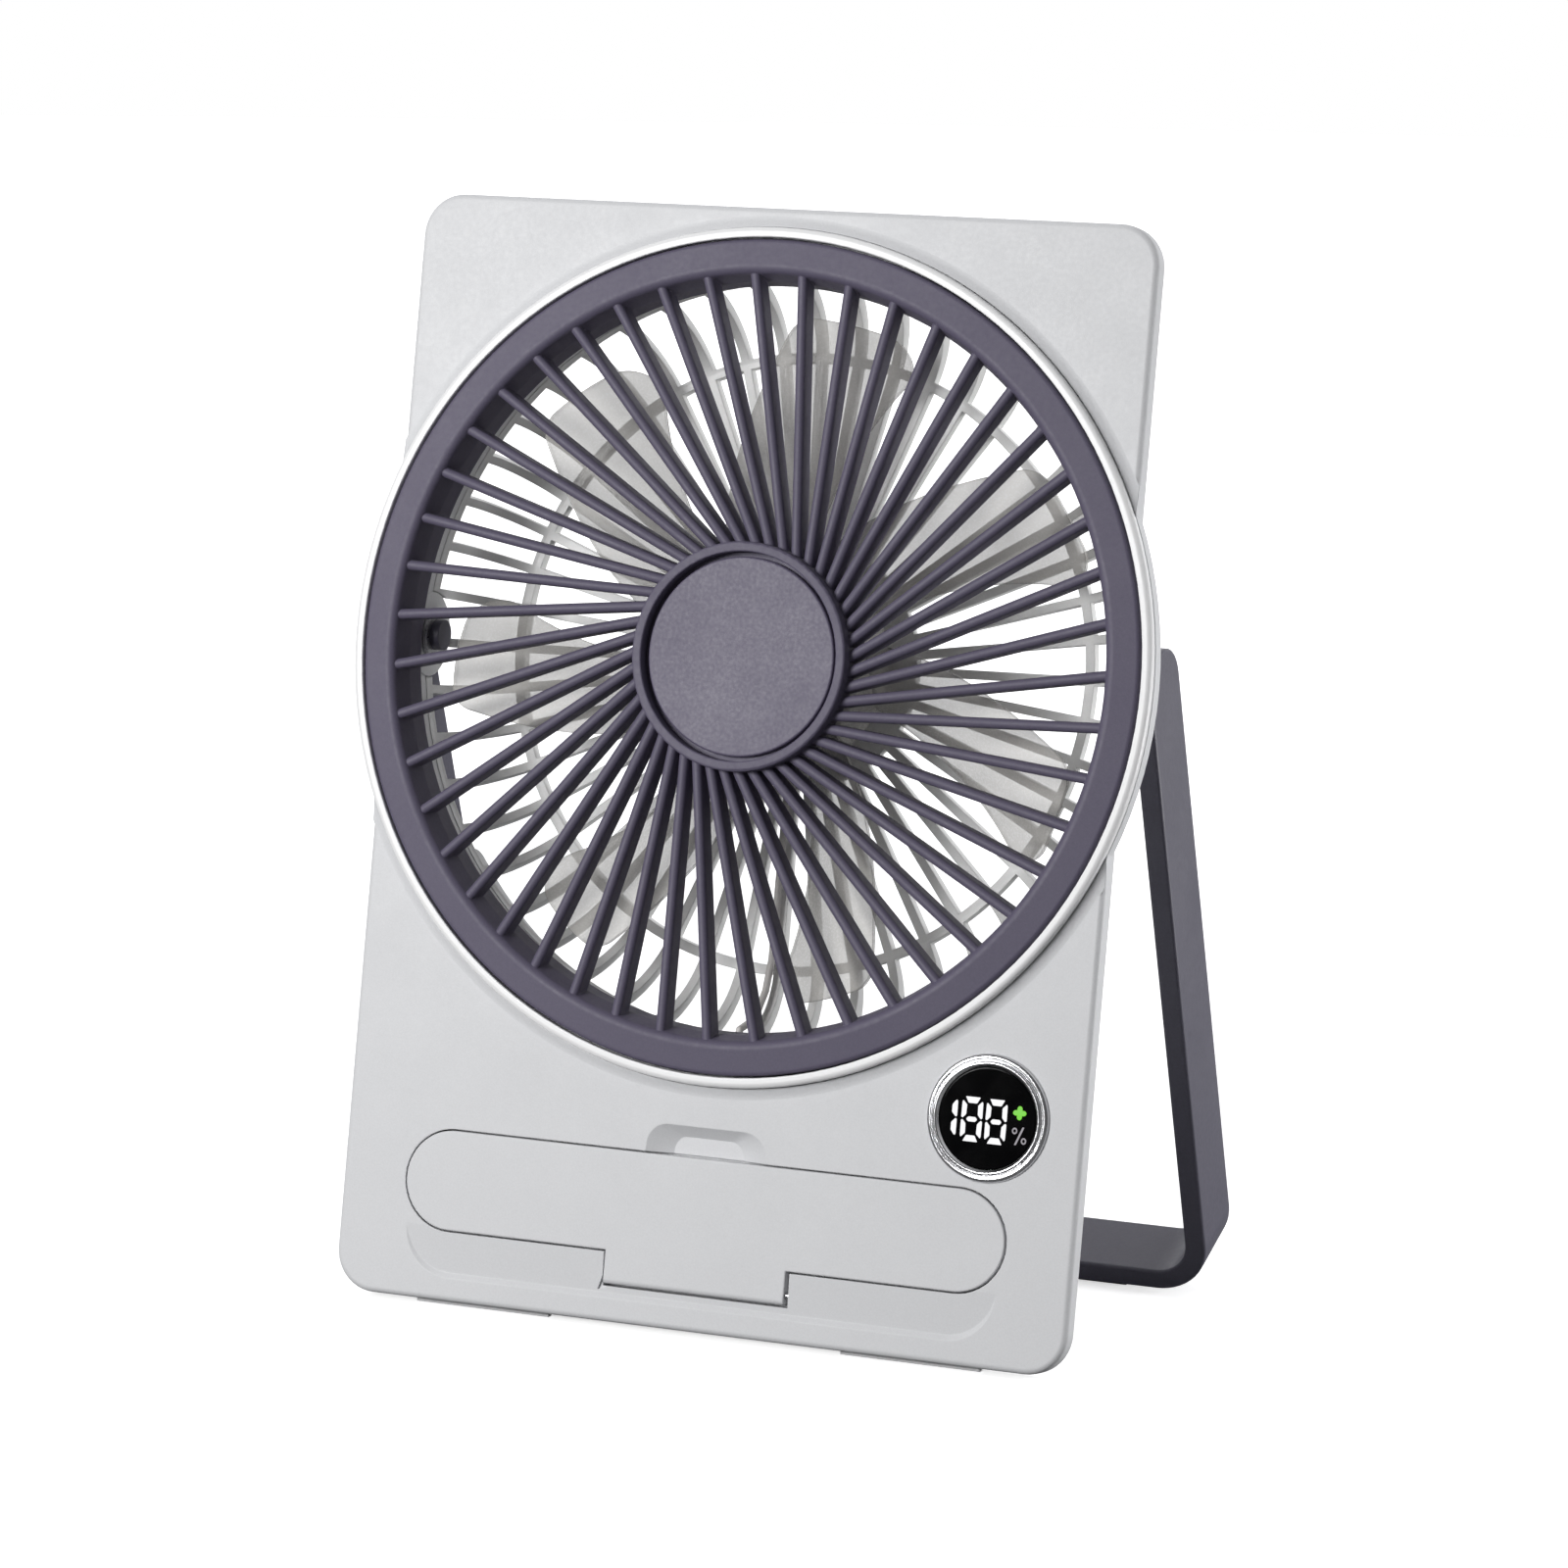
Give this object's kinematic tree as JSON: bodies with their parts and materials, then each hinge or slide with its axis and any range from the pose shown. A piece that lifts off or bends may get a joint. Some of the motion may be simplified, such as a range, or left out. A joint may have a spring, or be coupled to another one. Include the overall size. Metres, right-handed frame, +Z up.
{
  "type": "desktop fan",
  "caption": "Small rechargeable fan: leaning panel with a round swept-spoke grille, fold-out phone ledge, round display and a U-shaped strap that is stand and handle.",
  "frame": {"origin": "centre of the bounding box's footprint, on the ground plane that the pads and the strap's foot rest on", "axes": "+Z up, the panel's front faces -Y and leans back, +X to the right of someone who looks at the front"},
  "size_m": [0.1624, 0.086, 0.2102],
  "materials": {
    "panel_plastic": "pale cool grey plastic with a very fine grain",
    "bezel_plastic": "white satin plastic",
    "grille_plastic": "dark purple-grey satin plastic",
    "badge_plastic": "dark purple-grey fine matte plastic",
    "shell_plastic": "pale grey plastic",
    "cage_plastic": "pale grey plastic",
    "blade_plastic": "smoky translucent plastic",
    "strap_plastic": "dark blue-grey satin plastic",
    "soft_light": "pale soft pad",
    "soft_dark": "dark soft strip",
    "chrome": "bright chrome",
    "lens_black": "black window",
    "board": "green circuit board",
    "chip": "black moulded parts",
    "steel": "steel",
    "core_steel": "laminated steel",
    "copper": "enamelled copper",
    "magnet": "bonded magnet",
    "battery_wrap": "battery wrap",
    "wire": "wire cover",
    "button_plastic": "dark purple-grey plastic"
  },
  "bodies": {
    "housing": {"front_panel": "panel_plastic", "bezel_ring": "bezel_plastic", "front_grille": "grille_plastic", "grille_badge": "badge_plastic", "grille_screws": "steel", "rear_shell": "shell_plastic", "rear_grille": "cage_plastic", "housing_screws": "steel", "base_pads": "soft_light", "display_ring": "chrome", "display_lens": "lens_black", "display_board": "board", "main_board": "board", "board_chips": "chip", "button_switch": "chip", "usb_c_socket": "steel", "battery_pack": "battery_wrap", "internal_leads": "wire", "motor_lead": "wire", "motor_base": "steel", "motor_screws": "steel", "motor_bearings": "steel", "stator_core": "core_steel", "stator_windings": "copper", "motor_board": "board", "stand_washers": "soft_dark", "ledge_hinge_pin": "steel"},
    "fan": {"impeller": "blade_plastic", "rotor_cup": "steel", "rotor_magnet": "magnet", "motor_shaft": "steel", "impeller_nut": "steel"},
    "stand": {"strap_stand": "strap_plastic", "stand_pivot_pins": "strap_plastic", "stand_pivot_clips": "steel", "stand_foot_strip": "soft_dark"},
    "ledge": {"phone_ledge": "panel_plastic"},
    "button": {"power_button": "button_plastic"}
  },
  "joints": [
    {"name": "fan_spin", "type": "hinge", "parent": "housing", "child": "fan", "pos_m": [0, -0.01989, 0.12676], "axis": [0, -0.9833, 0.1822], "continuous": true},
    {"name": "stand_swing", "type": "hinge", "parent": "housing", "child": "stand", "pos_m": [0, -0.00858, 0.12466], "axis": [1, 0, 0], "range_deg": [-28, 149.5]},
    {"name": "ledge_fold", "type": "hinge", "parent": "housing", "child": "ledge", "pos_m": [0, -0.04036, 0.00973], "axis": [1, 0, 0], "range_deg": [0, 90]},
    {"name": "button_press", "type": "slide", "parent": "housing", "child": "button", "axis": [-1, 0, 0], "range_m": [0, 0.0006], "stiffness_N_per_m": 1500, "springref_m": -0.0004}
  ]
}
